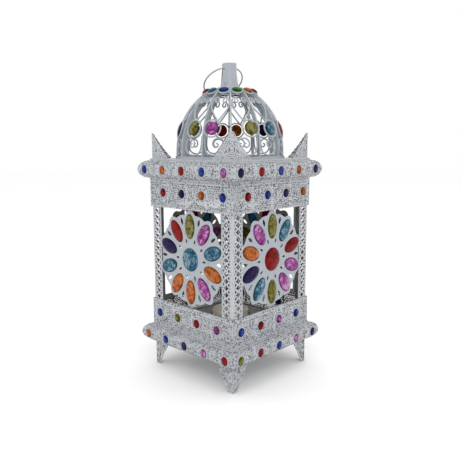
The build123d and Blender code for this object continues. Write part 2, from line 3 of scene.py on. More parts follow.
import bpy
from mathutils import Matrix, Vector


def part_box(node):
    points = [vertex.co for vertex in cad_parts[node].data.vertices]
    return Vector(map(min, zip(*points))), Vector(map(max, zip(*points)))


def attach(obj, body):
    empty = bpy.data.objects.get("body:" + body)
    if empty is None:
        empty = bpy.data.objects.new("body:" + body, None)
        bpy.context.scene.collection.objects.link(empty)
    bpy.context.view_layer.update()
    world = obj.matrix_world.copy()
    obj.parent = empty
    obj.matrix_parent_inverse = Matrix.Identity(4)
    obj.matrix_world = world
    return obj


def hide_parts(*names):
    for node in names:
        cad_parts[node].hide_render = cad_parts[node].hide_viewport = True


bl_info = {
    "name": "Pierced Candle Lantern",
    "version": (1, 0, 0),
    "blender": (4, 5, 0),
    "location": "3D View > Sidebar > Lantern",
    "description": "Makes the pierced sheets, wires and jewels of a square candle lantern",
    "category": "Add Mesh",
}

import math

import bpy
from mathutils import Matrix, Vector

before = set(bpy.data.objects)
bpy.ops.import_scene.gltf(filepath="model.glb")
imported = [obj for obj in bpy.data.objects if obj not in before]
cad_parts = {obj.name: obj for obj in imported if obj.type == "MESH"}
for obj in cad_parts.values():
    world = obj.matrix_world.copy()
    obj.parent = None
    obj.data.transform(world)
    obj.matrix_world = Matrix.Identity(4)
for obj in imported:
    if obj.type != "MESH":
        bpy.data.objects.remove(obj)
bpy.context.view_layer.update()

MM = 0.001
SIDES = ["front", "right", "back", "left"]
CORNERS = ["front_right", "back_right", "back_left", "front_left"]
BACK = 2
BEADS_PER_TILE = 12
BODY = "lantern_body"


def cad(node, corner, axis):
    """One number of a CAD node's box in millimetres: corner 0 is the lowest, 1 the highest."""
    return round(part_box(node)[corner][axis] / MM, 3)


# ---- sizes and colours, in millimetres and sRGB ----

class LanternSizes(bpy.types.PropertyGroup):
    """Sizes of the lantern's sheets, wires and jewels"""
    sheet: bpy.props.FloatProperty(
        name="Sheet", description="Thickness of the pierced sheet, mm", default=0.5, min=0.4, max=1.2)
    rail_radius: bpy.props.FloatProperty(
        name="Rail radius", description="Radius of the half-round rails, mm",
        default=cad("lower_rail_front", 1, 2) / 2 - cad("lower_rail_front", 0, 2) / 2)
    band_face: bpy.props.FloatProperty(
        name="Band face", description="Distance of the bands' faces from the axis, mm",
        default=-cad("lower_band_front", 0, 1))
    post_face: bpy.props.FloatProperty(
        name="Post face", description="Distance of the corner posts' faces from the axis, mm",
        default=cad("corner_post_front_right", 1, 0))
    post_width: bpy.props.FloatProperty(
        name="Post width", description="Width of one flange of a corner post, mm",
        default=cad("corner_post_front_right", 1, 0) - cad("corner_post_front_right", 0, 0))
    jewel_pitch: bpy.props.FloatProperty(
        name="Jewel pitch", description="Distance between jewels along a side, mm", default=41.0)
    band_shift: bpy.props.FloatProperty(
        name="Band shift", description="How far the bands' jewels stand off the middle, mm", default=6.7)
    hole: bpy.props.FloatProperty(
        name="Hole", description="Radius of the small round holes, mm", default=1.0)
    hole_pitch: bpy.props.FloatProperty(
        name="Hole pitch", description="Distance between the small round holes, mm", default=3.2)
    petal_radius: bpy.props.FloatProperty(
        name="Petal radius",
        description="Distance of each petal's middle from the flower's, mm",
        default=48.0)
    wire: bpy.props.FloatProperty(
        name="Wire", description="Diameter of the dome's wire, mm", default=2.2)


class LanternColours(bpy.types.PropertyGroup):
    """Colours of the paint and the glass"""
    paint: bpy.props.StringProperty(
        name="Paint", description="White paint on plain sheet and wire, sRGB hex", default="A0A6AD")
    paint_ridge: bpy.props.StringProperty(
        name="Paint on ridges", description="White paint on embossed sheet, sRGB hex", default="B0B3B8")
    # painted shade: the grey that the embossed paint takes in the relief's hollows; it also mottles the
    # paint where the coat noise is low
    hollow_shade_and_mottle: bpy.props.StringProperty(
        name="Painted shade and mottle",
        description="Painted shade in the hollows, and mottle of the paint, sRGB hex",
        default="5A5E63")
    red: bpy.props.StringProperty(name="Red glass", description="sRGB hex", default="7C0509")
    orange: bpy.props.StringProperty(name="Orange glass", description="sRGB hex", default="A85408")
    pink: bpy.props.StringProperty(name="Pink glass", description="sRGB hex", default="9A3C90")
    blue: bpy.props.StringProperty(name="Blue glass", description="sRGB hex", default="142E80")
    purple: bpy.props.StringProperty(name="Purple glass", description="sRGB hex", default="1C0840")
    teal: bpy.props.StringProperty(name="Teal glass", description="sRGB hex", default="20607A")
    olive: bpy.props.StringProperty(name="Olive glass", description="sRGB hex", default="6A661C")
    green: bpy.props.StringProperty(name="Green glass", description="sRGB hex", default="26701E")


def sizes():
    return bpy.context.scene.lantern_sizes


# ---- handling objects ----

def select_only(*objects):
    bpy.ops.object.select_all(action="DESELECT")
    for each in objects:
        each.select_set(True)
    bpy.context.view_layer.objects.active = objects[0]


def copy_to(master, name, matrix):
    """Copy of a piece with its own mesh, moved by a matrix."""
    copy = master.copy()
    copy.data = master.data.copy()
    copy.name = name
    bpy.context.collection.objects.link(copy)
    copy.data.transform(matrix)
    return copy


def join_all(name, parts):
    select_only(*parts)
    if len(parts) > 1:
        bpy.ops.object.join()
    bpy.context.object.name = name
    return bpy.context.object


def drop(*objects):
    select_only(*objects)
    bpy.ops.object.delete()


def apply_modifier(piece, kind, **settings):
    select_only(piece)
    modifier = piece.modifiers.new(kind.lower(), kind)
    for key, value in settings.items():
        setattr(modifier, key, value)
    bpy.ops.object.modifier_apply(modifier=modifier.name)


def finish_piece(piece, nodes, body=BODY, smooth=35, material=None):
    """Bring a piece to metres, smooth it, give it a material if one is given, hang it on its body and hide
    the CAD nodes that it replaces.
    """
    piece.data.transform(Matrix.Scale(MM, 4))
    select_only(piece)
    bpy.ops.object.shade_smooth_by_angle(angle=math.radians(smooth))
    if material:
        piece.data.materials.clear()
        piece.data.materials.append(material)
    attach(piece, body)
    if nodes:
        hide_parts(*nodes)


def quarter_turn(side):
    return Matrix.Rotation(math.radians(90 * side), 4, "Z")


def side_seat(side, along, height, distance, turn=0.0):
    """Matrix of a seat on one side: x runs right seen from outside, y up and z outwards."""
    upright = Matrix.Rotation(math.radians(90), 4, "X")
    return (quarter_turn(side) @ Matrix.Translation((along, -distance, height)) @ upright
            @ Matrix.Rotation(turn, 4, "Z"))


# ---- pierced sheet ----

def oval(x, y, wide, high, turn=0.0, sides=8):
    """Ring of points round an oval hole: half its width, half its height, and its turn."""
    ring = []
    for step in range(sides):
        angle = 2 * math.pi * step / sides
        across = wide * math.cos(angle)
        up = high * math.sin(angle)
        ring.append((x + across * math.cos(turn) - up * math.sin(turn),
                     y + across * math.sin(turn) + up * math.cos(turn)))
    return ring


def leaf(x, y, wide, high, turn=0.0, sides=10):
    """Ring of points round a hole with two pointed ends."""
    ring = []
    for step in range(sides):
        angle = 2 * math.pi * step / sides
        across = wide * math.cos(angle)
        up = high * math.sin(angle) * abs(math.sin(angle))
        ring.append((x + across * math.cos(turn) - up * math.sin(turn),
                     y + across * math.sin(turn) + up * math.cos(turn)))
    return ring


def rosette(x, y, wide, high, count, dash, start=0.5):
    """Radial dashes on an oval about a point; dash is half their length and half their width."""
    holes = []
    for step in range(count):
        angle = 2 * math.pi * (step + start) / count
        holes.append(oval(x + wide * math.cos(angle), y + high * math.sin(angle),
                          dash[0], dash[1], angle, 6))
    return holes


def gap_to(point, ring):
    """Distance from a point to the nearest edge of a ring."""
    nearest = math.inf
    for first, second in zip(ring, ring[1:] + ring[:1]):
        run = (second[0] - first[0], second[1] - first[1])
        length = run[0] ** 2 + run[1] ** 2
        share = ((point[0] - first[0]) * run[0] + (point[1] - first[1]) * run[1]) / length
        share = min(1.0, max(0.0, share))
        nearest = min(nearest, math.hypot(point[0] - first[0] - share * run[0],
                                          point[1] - first[1] - share * run[1]))
    return nearest


def is_within(point, ring):
    inside = False
    for (x1, y1), (x2, y2) in zip(ring, ring[1:] + ring[:1]):
        if (y1 > point[1]) != (y2 > point[1]) and point[0] < x1 + (x2 - x1) * (point[1] - y1) / (y2 - y1):
            inside = not inside
    return inside


def bead_row(pitch, edge, wide, high):
    """One tile's row of evenly spaced small ovals along an edge."""
    step = pitch / BEADS_PER_TILE
    return [oval(-pitch / 2 + step * (bead + 0.5), edge, wide, high, 0, 6) for bead in range(BEADS_PER_TILE)]


def speckle(outline, holes, pitch, radius, web):
    """Small round holes on a staggered grid wherever the sheet between outline and holes is free."""
    wide = [x for x, _ in outline]
    high = [y for _, y in outline]
    rows = int((max(high) - min(high)) / (pitch * 0.87))
    columns = int((max(wide) - min(wide)) / pitch)
    middle = ((max(wide) + min(wide)) / 2, (max(high) + min(high)) / 2)
    found = []
    for row in range(-rows // 2, rows // 2 + 1):
        for column in range(-columns // 2, columns // 2 + 1):
            place = (middle[0] + pitch * (column + 0.5 * (row % 2)), middle[1] + pitch * 0.87 * row)
            clear = radius + web
            if not is_within(place, outline) or gap_to(place, outline) < clear:
                continue
            if all(not is_within(place, ring) and gap_to(place, ring) > clear for ring in holes):
                found.append(oval(place[0], place[1], radius, radius, 0, 6))
    return holes + found


def cut_sheet(name, outline, holes):
    """Flat sheet in the XY plane, cut to an outline and pierced."""
    drawing = bpy.data.curves.new(name, "CURVE")
    drawing.dimensions = "2D"
    drawing.fill_mode = "BOTH"
    for ring in [outline] + holes:
        spline = drawing.splines.new("POLY")
        spline.points.add(len(ring) - 1)
        for point, (x, y) in zip(spline.points, ring):
            point.co = (x, y, 0, 1)
        spline.use_cyclic_u = True
    piece = bpy.data.objects.new(name, drawing)
    bpy.context.collection.objects.link(piece)
    select_only(piece)
    bpy.ops.object.convert(target="MESH")
    return bpy.context.object


def repeat(piece, pitch, count):
    apply_modifier(piece, "ARRAY", use_relative_offset=False, use_constant_offset=True,
                   constant_offset_displace=(pitch, 0, 0), count=count, use_merge_vertices=True)


def tidy_mesh(piece):
    """Merge doubled points and take out faces with no area."""
    select_only(piece)
    bpy.ops.object.mode_set(mode="EDIT")
    bpy.ops.mesh.select_all(action="SELECT")
    bpy.ops.mesh.remove_doubles(threshold=0.002)
    bpy.ops.mesh.dissolve_degenerate(threshold=0.001)
    bpy.ops.object.mode_set(mode="OBJECT")


def slice_at(piece, places, axis):
    """Cut edges across a sheet at each place along an axis, so that it can be bent there."""
    select_only(piece)
    bpy.ops.object.mode_set(mode="EDIT")
    for place in places:
        bpy.ops.mesh.select_all(action="SELECT")
        bpy.ops.mesh.bisect(plane_co=tuple(place if each == axis else 0 for each in range(3)),
                            plane_no=tuple(1 if each == axis else 0 for each in range(3)))
    bpy.ops.object.mode_set(mode="OBJECT")


def trim(piece, point, normal, fill=False):
    """Cut away what lies beyond a plane, and close the cut if it is a thick sheet."""
    select_only(piece)
    bpy.ops.object.mode_set(mode="EDIT")
    bpy.ops.mesh.select_all(action="SELECT")
    bpy.ops.mesh.bisect(plane_co=point, plane_no=normal, clear_outer=True, use_fill=fill)
    bpy.ops.object.mode_set(mode="OBJECT")


def bend(piece, shape):
    """Move every point of a flat sheet to its place on the bent one."""
    for vertex in piece.data.vertices:
        vertex.co = shape(vertex.co.x, vertex.co.y, vertex.co.z)


def thicken(piece, thickness, front="smooth", back="inside"):
    """Give a sheet its thickness, inwards from its outer face, and a finish on each side."""
    tidy_mesh(piece)
    # the back faces take the inside finish, partly painted shade, and the rims round holes and cut edges
    # take painted shade
    for each in (front, back, "edge"):
        piece.data.materials.append(finish(each))
    apply_modifier(piece, "SOLIDIFY", thickness=thickness, offset=-1,
                   material_offset=1, material_offset_rim=2)


def corner_fold(face, radius):
    """Bend of a flat sheet round the front right corner, where its x = 0 lies on the edge."""
    quarter = math.pi / 4 * radius
    saved = radius * (1 - math.pi / 4)

    def shape(x, y, z):
        if abs(x) < quarter:
            angle = x / radius - math.pi / 4
            centre = face - radius
            return (centre + radius * math.cos(angle), radius * math.sin(angle) - centre, y)
        away = face - abs(x) - saved
        return (away, -face, y) if x < 0 else (face, -away, y)
    return shape


def fold_lines(radius):
    return [math.pi / 8 * radius * step for step in range(-2, 3)]


# ---- stepped ovals: bezels, rims and stones ----

def draw_up(piece, steps):
    """Inset the one face that looks up, again and again: each step is (inwards, upwards)."""
    select_only(piece)
    bpy.ops.object.mode_set(mode="EDIT")
    bpy.ops.mesh.select_mode(type="FACE")
    bpy.ops.mesh.select_all(action="DESELECT")
    bpy.ops.object.mode_set(mode="OBJECT")
    top = max(piece.data.polygons, key=lambda face: (face.normal.z > 0.9) * face.area + face.center.z)
    top.select = True
    bpy.ops.object.mode_set(mode="EDIT")
    for inwards, upwards in steps:
        bpy.ops.mesh.inset(thickness=inwards, depth=upwards)


def make_rim(name, size, steps, sides, wall=0.7):
    """Raised oval rim: it starts at its outer edge and is open in the middle."""
    bpy.ops.mesh.primitive_circle_add(vertices=sides, radius=0.5, fill_type="NGON")
    rim = bpy.context.object
    rim.name = name
    rim.scale = (size[0], size[1], 1)
    bpy.ops.object.transform_apply(location=False, rotation=False, scale=True)
    draw_up(rim, steps)
    bpy.ops.mesh.delete(type="FACE")
    bpy.ops.object.mode_set(mode="OBJECT")
    thicken(rim, wall)
    return rim


def make_stone(name, size, rise, sides, girdle_share):
    """Oval stone with a straight girdle, two rows of facets and a flat table."""
    girdle = girdle_share * rise
    crown = rise - girdle
    bpy.ops.mesh.primitive_cylinder_add(vertices=sides, radius=0.5, depth=girdle, end_fill_type="NGON",
                                        location=(0, 0, girdle / 2))
    stone = bpy.context.object
    stone.name = name
    stone.scale = (size[0], size[1], 1)
    bpy.ops.object.transform_apply(location=True, rotation=False, scale=True)
    # the facets stop short of the radius of the pointed ends, where they would cross
    slope = min(0.3 * min(size), 0.42 * min(size) ** 2 / max(size))
    draw_up(stone, [(0.37 * slope, 0.55 * crown), (0.43 * slope, 0.34 * crown), (0.2 * slope, 0.11 * crown)])
    bpy.ops.object.mode_set(mode="OBJECT")
    # the sloping faces take slot 1, which carries the darker, painted-shade copy of the glass
    for face in stone.data.polygons:
        face.material_index = 0 if face.normal.z > 0.93 else 1
    return stone


# ---- finishes ----

def linear(hex_colour):
    """Linear colour of an sRGB hex value."""
    parts = [int(hex_colour[start:start + 2], 16) / 255 for start in (0, 2, 4)]
    linear = [part / 12.92 if part <= 0.04045 else ((part + 0.055) / 1.055) ** 2.4 for part in parts]
    return (*linear, 1.0)


def add_node(material, kind, settings=None, links=None):
    """Add a node, set its properties and sockets, and link its inputs."""
    node = material.node_tree.nodes.new(kind)
    for key, value in (settings or {}).items():
        if isinstance(key, str) and hasattr(node, key):
            setattr(node, key, value)
        else:
            node.inputs[key].default_value = value
    for key, source in (links or {}).items():
        material.node_tree.links.new(source, node.inputs[key])
    return node


def set_ramp(node, stops):
    """Places and colours of a Color Ramp, from two or more stops."""
    ramp = node.color_ramp
    while len(ramp.elements) < len(stops):
        ramp.elements.new(1.0)
    for element, (place, colour) in zip(ramp.elements, stops):
        element.position = place
        element.color = colour


def new_finish(name):
    """Empty material with its shader and its Object coordinates."""
    material = bpy.data.materials.new(name)
    material.use_nodes = True
    shader = material.node_tree.nodes["Principled BSDF"]
    place = add_node(material, "ShaderNodeTexCoord").outputs["Object"]
    return material, shader, place


def per_metre(millimetres):
    """Texture scale for a pattern that repeats every so many millimetres."""
    return 1 / (millimetres * MM)


def steel_paint(name, base, relief_size, relief_height, dots, stops):
    """Sprayed white paint on pressed steel: satin, with painted shade in the dot-like hollows of the
    pressing.
    """
    colours = bpy.context.scene.lantern_colours
    material, shader, place = new_finish(name)
    # punched and chased relief, a few millimetres from dot to dot
    relief = add_node(material, "ShaderNodeTexVoronoi", {"Scale": per_metre(relief_size)}, {"Vector": place})
    # uneven coat and depth of pressing, changing over about 14 mm; it also sets how far the painted shade
    # spreads in the hollows
    coat = add_node(material, "ShaderNodeTexNoise",
                    {"Scale": per_metre(14), "Detail": 4, "Roughness": 0.6}, {"Vector": place})
    # orange peel of sprayed paint, a little under a millimetre
    peel = add_node(material, "ShaderNodeTexNoise", {"Scale": per_metre(0.8), "Detail": 2},
                    {"Vector": place})
    # painted shade: where the relief's distance is small, in the hollows of the bump, the tint turns to the
    # shade grey
    hollow = add_node(material, "ShaderNodeMath", {"operation": "MULTIPLY_ADD", 1: dots},
                      {0: relief.outputs["Distance"], 2: coat.outputs["Fac"]})
    depth = add_node(material, "ShaderNodeMapRange", {"From Min": stops[0], "From Max": stops[1]},
                     {"Value": hollow.outputs["Value"]})
    tint = add_node(material, "ShaderNodeValToRGB", None, {"Fac": depth.outputs["Result"]})
    set_ramp(tint, [(0.0, linear(colours.hollow_shade_and_mottle)), (1.0, linear(base))])
    gloss = add_node(material, "ShaderNodeMapRange",
                     {"To Min": 0.34, "To Max": 0.52}, {"Value": coat.outputs["Fac"]})
    fine = add_node(material, "ShaderNodeBump", {"Strength": 0.25, "Distance": 0.05 * MM},
                    {"Height": peel.outputs["Fac"]})
    pressed = add_node(material, "ShaderNodeBump", {"Strength": 0.8, "Distance": relief_height * MM},
                       {"Height": relief.outputs["Distance"], "Normal": fine.outputs["Normal"]})
    add_links(material, shader, {"Base Color": tint.outputs["Color"], "Roughness": gloss.outputs["Result"],
                                 "Normal": pressed.outputs["Normal"]})
    shader.inputs["Coat Weight"].default_value = 0.25
    shader.inputs["Coat Roughness"].default_value = 0.22
    return material


def add_links(material, shader, links):
    for key, source in links.items():
        material.node_tree.links.new(source, shader.inputs[key])


def pressed_paint():
    """Paint on embossed sheet: satin white, peppered with punch marks of uneven depth, dark with painted
    shade.
    """
    colours = bpy.context.scene.lantern_colours
    return steel_paint("painted_pressed_steel", colours.paint_ridge, 3.6, 0.8, 1.5, (0.88, 1.16))


def chased_paint():
    """Paint on lightly embossed sheet: satin white with fewer and paler marks of painted shade."""
    colours = bpy.context.scene.lantern_colours
    return steel_paint("painted_chased_steel", colours.paint_ridge, 3.4, 0.5, 1.5, (0.6, 1.0))


def smooth_paint():
    """Paint on wire and plain sheet: satin white, nearly even."""
    colours = bpy.context.scene.lantern_colours
    return steel_paint("painted_plain_steel", colours.paint, 7.0, 0.12, 0.1, (0.05, 0.44))


def patchy_overspray_and_shade(name, low, high):
    """Dull, patchy, brownish grey, for thin overspray and for painted shade."""
    material, shader, place = new_finish(name)
    # lighter and darker patches at random, about 18 mm across
    reach = add_node(material, "ShaderNodeTexNoise",
                     {"Scale": per_metre(18), "Detail": 6, "Roughness": 0.65}, {"Vector": place})
    tint = add_node(material, "ShaderNodeValToRGB", None, {"Fac": reach.outputs["Fac"]})
    set_ramp(tint, [(0.35, linear(low)), (0.7, linear(high))])
    rough = add_node(material, "ShaderNodeMapRange", {"To Min": 0.5, "To Max": 0.75},
                     {"Value": reach.outputs["Fac"]})
    add_links(material, shader, {"Base Color": tint.outputs["Color"], "Roughness": rough.outputs["Result"]})
    return material


def inside_overspray_and_shade():
    """Inside of the sheets: thin grey overspray, darkened further as painted shade for the dim inside, so
    that backs look duller than fronts.
    """
    return patchy_overspray_and_shade("thin_overspray_and_painted_shade", "6E6A66", "96928C")


def cut_edge_shade():
    """Cut edges of the holes: painted shade, dark grey, so that each hole is drawn with a dark line."""
    return patchy_overspray_and_shade("bare_cut_edge_steel", "26241F", "45423D")


def coloured_glass(name):
    """Pressed glass stone, foil-backed: glossy, with a crackle of lighter and darker patches inside, which
    are painted reflection and shade of its facets and foil mixed with flaws.
    """
    colour, _, edge = name.partition("_")
    # how milky the light patches of each colour are; these patches are painted reflection, and the milk also
    # sets how much light passes through
    milk = {"red": 0.01, "purple": 0.02, "blue": 0.05, "green": 0.12, "olive": 0.12,
            "orange": 0.1, "pink": 0.3, "teal": 0.3}[colour]
    tone = linear(getattr(bpy.context.scene.lantern_colours, colour))[:3]
    pale = tuple(share + (1 - share) * milk for share in tone)
    dark = tuple(share * 0.3 for share in tone)
    if edge:
        # painted shade: the sloping facets get a darker copy of the glass than the table
        pale, tone, dark = tone, tuple(share * 0.5 for share in tone), tuple(share * 0.15 for share in tone)
    material, shader, place = new_finish(f"{name}_glass")
    # flaws and backing seen through the stone, patches about 9 mm across
    flaw = add_node(material, "ShaderNodeTexNoise",
                    {"Scale": per_metre(9), "Detail": 3, "Roughness": 0.6, "Distortion": 1.5},
                    {"Vector": place})
    # painted reflection and shade of facets cut into the back of the stone, lighter and darker cells about 6
    # mm across
    facet = add_node(material, "ShaderNodeTexVoronoi", {"Scale": per_metre(6)}, {"Vector": place})
    grey = add_node(material, "ShaderNodeRGBToBW", None, {"Color": facet.outputs["Color"]})
    mixed = add_node(material, "ShaderNodeMath", {"operation": "MULTIPLY_ADD", 1: 0.25},
                     {0: grey.outputs["Val"], 2: flaw.outputs["Fac"]})
    tint = add_node(material, "ShaderNodeValToRGB", None, {"Fac": mixed.outputs["Value"]})
    set_ramp(tint, [(0.44, (*dark, 1.0)), (0.62, (*tone, 1.0)), (0.8, (*pale, 1.0))])
    ripple = add_node(material, "ShaderNodeBump", {"Strength": 0.3, "Distance": 0.12 * MM},
                      {"Height": flaw.outputs["Fac"]})
    add_links(material, shader, {"Base Color": tint.outputs["Color"], "Normal": ripple.outputs["Normal"]})
    shader.inputs["Roughness"].default_value = 0.08
    # the coloured backing swallows most of the glint
    shader.inputs["Specular IOR Level"].default_value = 0.1
    shader.inputs["IOR"].default_value = 1.49
    shader.inputs["Transmission Weight"].default_value = 0.5 * milk
    return material


def drawn_steel():
    """Bright drawn steel of pins and rivet: fine lines along the wire, small dull spots."""
    material, shader, place = new_finish("drawn_bright_steel")
    stretch = add_node(material, "ShaderNodeMapping", {"Scale": (1, 1, 0.06)}, {"Vector": place})
    # die lines, drawn coarser than real so that they show: 0.3 mm apart
    lines = add_node(material, "ShaderNodeTexNoise", {"Scale": per_metre(0.3), "Detail": 3},
                     {"Vector": stretch.outputs["Vector"]})
    tint = add_node(material, "ShaderNodeValToRGB", None, {"Fac": lines.outputs["Fac"]})
    set_ramp(tint, [(0.3, linear("8C8C8C")), (0.7, linear("C4C4C2"))])
    rough = add_node(material, "ShaderNodeMapRange", {"To Min": 0.22, "To Max": 0.42},
                     {"Value": lines.outputs["Fac"]})
    add_links(material, shader, {"Base Color": tint.outputs["Color"], "Roughness": rough.outputs["Result"]})
    shader.inputs["Metallic"].default_value = 1.0
    return material


def candle_wax():
    """Cast paraffin wax: creamy, softly lit from inside, faint cloudy marks."""
    material, shader, place = new_finish("cast_paraffin_wax")
    cloud = add_node(material, "ShaderNodeTexNoise", {"Scale": per_metre(9), "Detail": 5}, {"Vector": place})
    tint = add_node(material, "ShaderNodeValToRGB", None, {"Fac": cloud.outputs["Fac"]})
    set_ramp(tint, [(0.3, linear("E9DFC8")), (0.75, linear("F6F0E2"))])
    dimple = add_node(material, "ShaderNodeBump", {"Strength": 0.2, "Distance": 0.3 * MM},
                      {"Height": cloud.outputs["Fac"]})
    add_links(material, shader, {"Base Color": tint.outputs["Color"], "Normal": dimple.outputs["Normal"]})
    shader.inputs["Roughness"].default_value = 0.42
    shader.inputs["IOR"].default_value = 1.43
    shader.inputs["Subsurface Weight"].default_value = 0.35
    shader.inputs["Subsurface Scale"].default_value = 4 * MM
    return material


def wick_cotton():
    """Braided cotton dipped in wax: matt threads in bands of brownish and cream."""
    material, shader, place = new_finish("braided_waxed_cotton")
    # braid drawn 0.7 mm a plait
    braid = add_node(material, "ShaderNodeTexWave",
                     {"wave_type": "BANDS", "bands_direction": "DIAGONAL", "Scale": per_metre(0.7) / 20,
                      "Distortion": 1.0}, {"Vector": place})
    tint = add_node(material, "ShaderNodeValToRGB", None, {"Fac": braid.outputs["Fac"]})
    set_ramp(tint, [(0.2, linear("A89A7C")), (0.8, linear("E4DBC4"))])
    plait = add_node(material, "ShaderNodeBump", {"Strength": 0.6, "Distance": 0.1 * MM},
                     {"Height": braid.outputs["Fac"]})
    add_links(material, shader, {"Base Color": tint.outputs["Color"], "Normal": plait.outputs["Normal"]})
    shader.inputs["Roughness"].default_value = 0.85
    return material


FINISHES = {"pressed": pressed_paint, "chased": chased_paint, "smooth": smooth_paint, "inside": inside_overspray_and_shade,
            "edge": cut_edge_shade, "steel": drawn_steel, "wax": candle_wax, "cotton": wick_cotton}
made_finishes = {}


def finish(name):
    """The material of a finish or of a glass colour, made once."""
    if name not in made_finishes:
        made_finishes[name] = FINISHES[name]() if name in FINISHES else coloured_glass(name)
    return made_finishes[name]


# ---- measures shared by the pieces ----

RAIL_HEIGHTS = {row: (cad(f"{row}_rail_front", 0, 2) + cad(f"{row}_rail_front", 1, 2)) / 2
                for row in ("lower", "upper")}
BAND_SPANS = {row: (cad(f"{row}_band_front", 0, 2), cad(f"{row}_band_front", 1, 2))
              for row in ("lower", "upper")}
BAND_JEWEL_HEIGHTS = {"lower": 85.5, "upper": 270.8}
WINDOW = (BAND_SPANS["lower"][1], BAND_SPANS["upper"][0])
WINDOW_CENTRE = sum(WINDOW) / 2
RAIL_SEAT = 95.8
PETALS = 10
# width across, height along and rise of each kind of jewel
JEWEL_SIZES = {"rail": (12.0, 13.0, 3.55), "band": (12.0, 12.6, 3.2), "petal": (20.0, 35.5, 3.3),
               "centre": (32.6, 33.6, 3.3), "dome": (18.0, 19.5, 3.3), "crown": (14.5, 12.0, 3.3)}
UPPER_RAIL = [["blue", "orange", "red", "blue", "pink"], ["purple", "red", "blue", "orange", "purple"],
              ["orange", "blue", "pink", "red", "blue"], ["red", "blue", "orange", "pink", "purple"]]
UPPER_BAND = [["red", "purple", "orange", "blue"], ["red", "blue", "purple", "orange"],
              ["blue", "orange", "red", "purple"], ["orange", "red", "blue", "pink"]]
LOWER_BAND = [["blue", "olive", "red", "pink"], ["blue", "red", "pink", "blue"],
              ["red", "blue", "olive", "pink"], ["pink", "blue", "red", "olive"]]
LOWER_RAIL = [["orange", "blue", "purple", "pink", "red"], ["olive", "red", "blue", "pink", "purple"],
              ["red", "pink", "olive", "blue", "orange"], ["purple", "red", "blue", "orange", "pink"]]
# each flower: the centre, then its petals clockwise from the top
FLOWERS = [["teal", "olive", "pink", "teal", "orange", "pink", "orange", "orange", "teal", "purple", "red"],
           ["red", "olive", "teal", "red", "pink", "pink", "olive", "teal", "purple", "orange", "pink"],
           ["pink", "red", "teal", "olive", "orange", "blue", "pink", "red", "teal", "olive", "purple"],
           ["olive", "red", "orange", "teal", "pink", "red", "purple", "olive", "orange", "pink", "teal"]]
# the dome's two rows, anticlockwise seen from above, from the bay right of the front right rib
LOWER_DOME = ["olive", "teal", "red", "blue", "purple", "orange", "red", "purple", "teal", "purple",
              "olive", "pink"]
UPPER_DOME = ["green", "orange", "red", "blue", "orange", "red", "teal", "blue", "pink", "red",
              "teal", "blue"]
BAYS = 12
FIRST_BAY = -30.0
# how far round its bay each lower jewel and its ring stand, in degrees
RING_SHIFTS = [6, 2, 0, 0, 0, 6, -6, 0, 0, 0, 2.5, -5]
DOME = (80.0, 97.0, 328.0)
LOWER_RING = (362.0, 12.2)
UPPER_RING = (415.2, 7.1)


def dome_seat(angle, height, out=0.0, turn=0.0):
    """Matrix of a seat on the dome: x runs round it, y up it and z outwards."""
    wide, tall, centre = DOME
    radius = wide * math.sqrt(1 - ((height - centre) / tall) ** 2)
    outward = Vector((radius / wide ** 2, 0, (height - centre) / tall ** 2)).normalized()
    up = Vector((-outward.z, 0, outward.x))
    seat = Matrix(((0, up.x, outward.x, radius + outward.x * out), (1, 0, 0, 0),
                   (0, up.z, outward.z, height + outward.z * out), (0, 0, 0, 1)))
    return Matrix.Rotation(math.radians(angle), 4, "Z") @ seat @ Matrix.Rotation(turn, 4, "Z")


def bay_angle(bay):
    return FIRST_BAY + 360 / BAYS * bay


def row_places(count, shift):
    pitch = sizes().jewel_pitch
    return [(place - (count - 1) / 2) * pitch + shift for place in range(count)]


def flower_seats(side, distance):
    """Kind and matrix of each jewel of one flower, the centre first."""
    seats = [("centre", side_seat(side, 0, WINDOW_CENTRE, distance))]
    for petal in range(PETALS):
        turn = -2 * math.pi * petal / PETALS
        middle = side_seat(side, 0, WINDOW_CENTRE, distance, turn)
        seats.append(("petal", middle @ Matrix.Translation((0, sizes().petal_radius, 0))))
    return seats


def all_seats():
    """Body, kind, colour and matrix of every jewel."""
    face = sizes().band_face
    inner = sizes().post_face - 1.2
    door_face = sizes().post_face + 1.5
    shift = sizes().band_shift
    seats = []
    for side in range(4):
        for row, colours in (("lower", LOWER_RAIL), ("upper", UPPER_RAIL)):
            for along, colour in zip(row_places(5, 0), colours[side]):
                seats.append((BODY, "rail", colour, side_seat(side, along, RAIL_HEIGHTS[row], RAIL_SEAT)))
        for row, colours, way in (("lower", LOWER_BAND, -1), ("upper", UPPER_BAND, 1)):
            for along, colour in zip(row_places(4, way * shift), colours[side]):
                place = side_seat(side, along, BAND_JEWEL_HEIGHTS[row], face)
                seats.append((BODY, "band", colour, place))
        body, distance = ("door", door_face) if side == BACK else (BODY, inner)
        for (kind, matrix), colour in zip(flower_seats(side, distance), FLOWERS[side]):
            seats.append((body, kind, colour, matrix))
    for bay in range(BAYS):
        angle = bay_angle(bay) + RING_SHIFTS[bay]
        seats.append((BODY, "dome", LOWER_DOME[bay], dome_seat(angle, LOWER_RING[0])))
        seats.append((BODY, "crown", UPPER_DOME[bay], dome_seat(bay_angle(bay), UPPER_RING[0], 1.4)))
    return seats


# ---- operators: one for each piece or group of like pieces ----

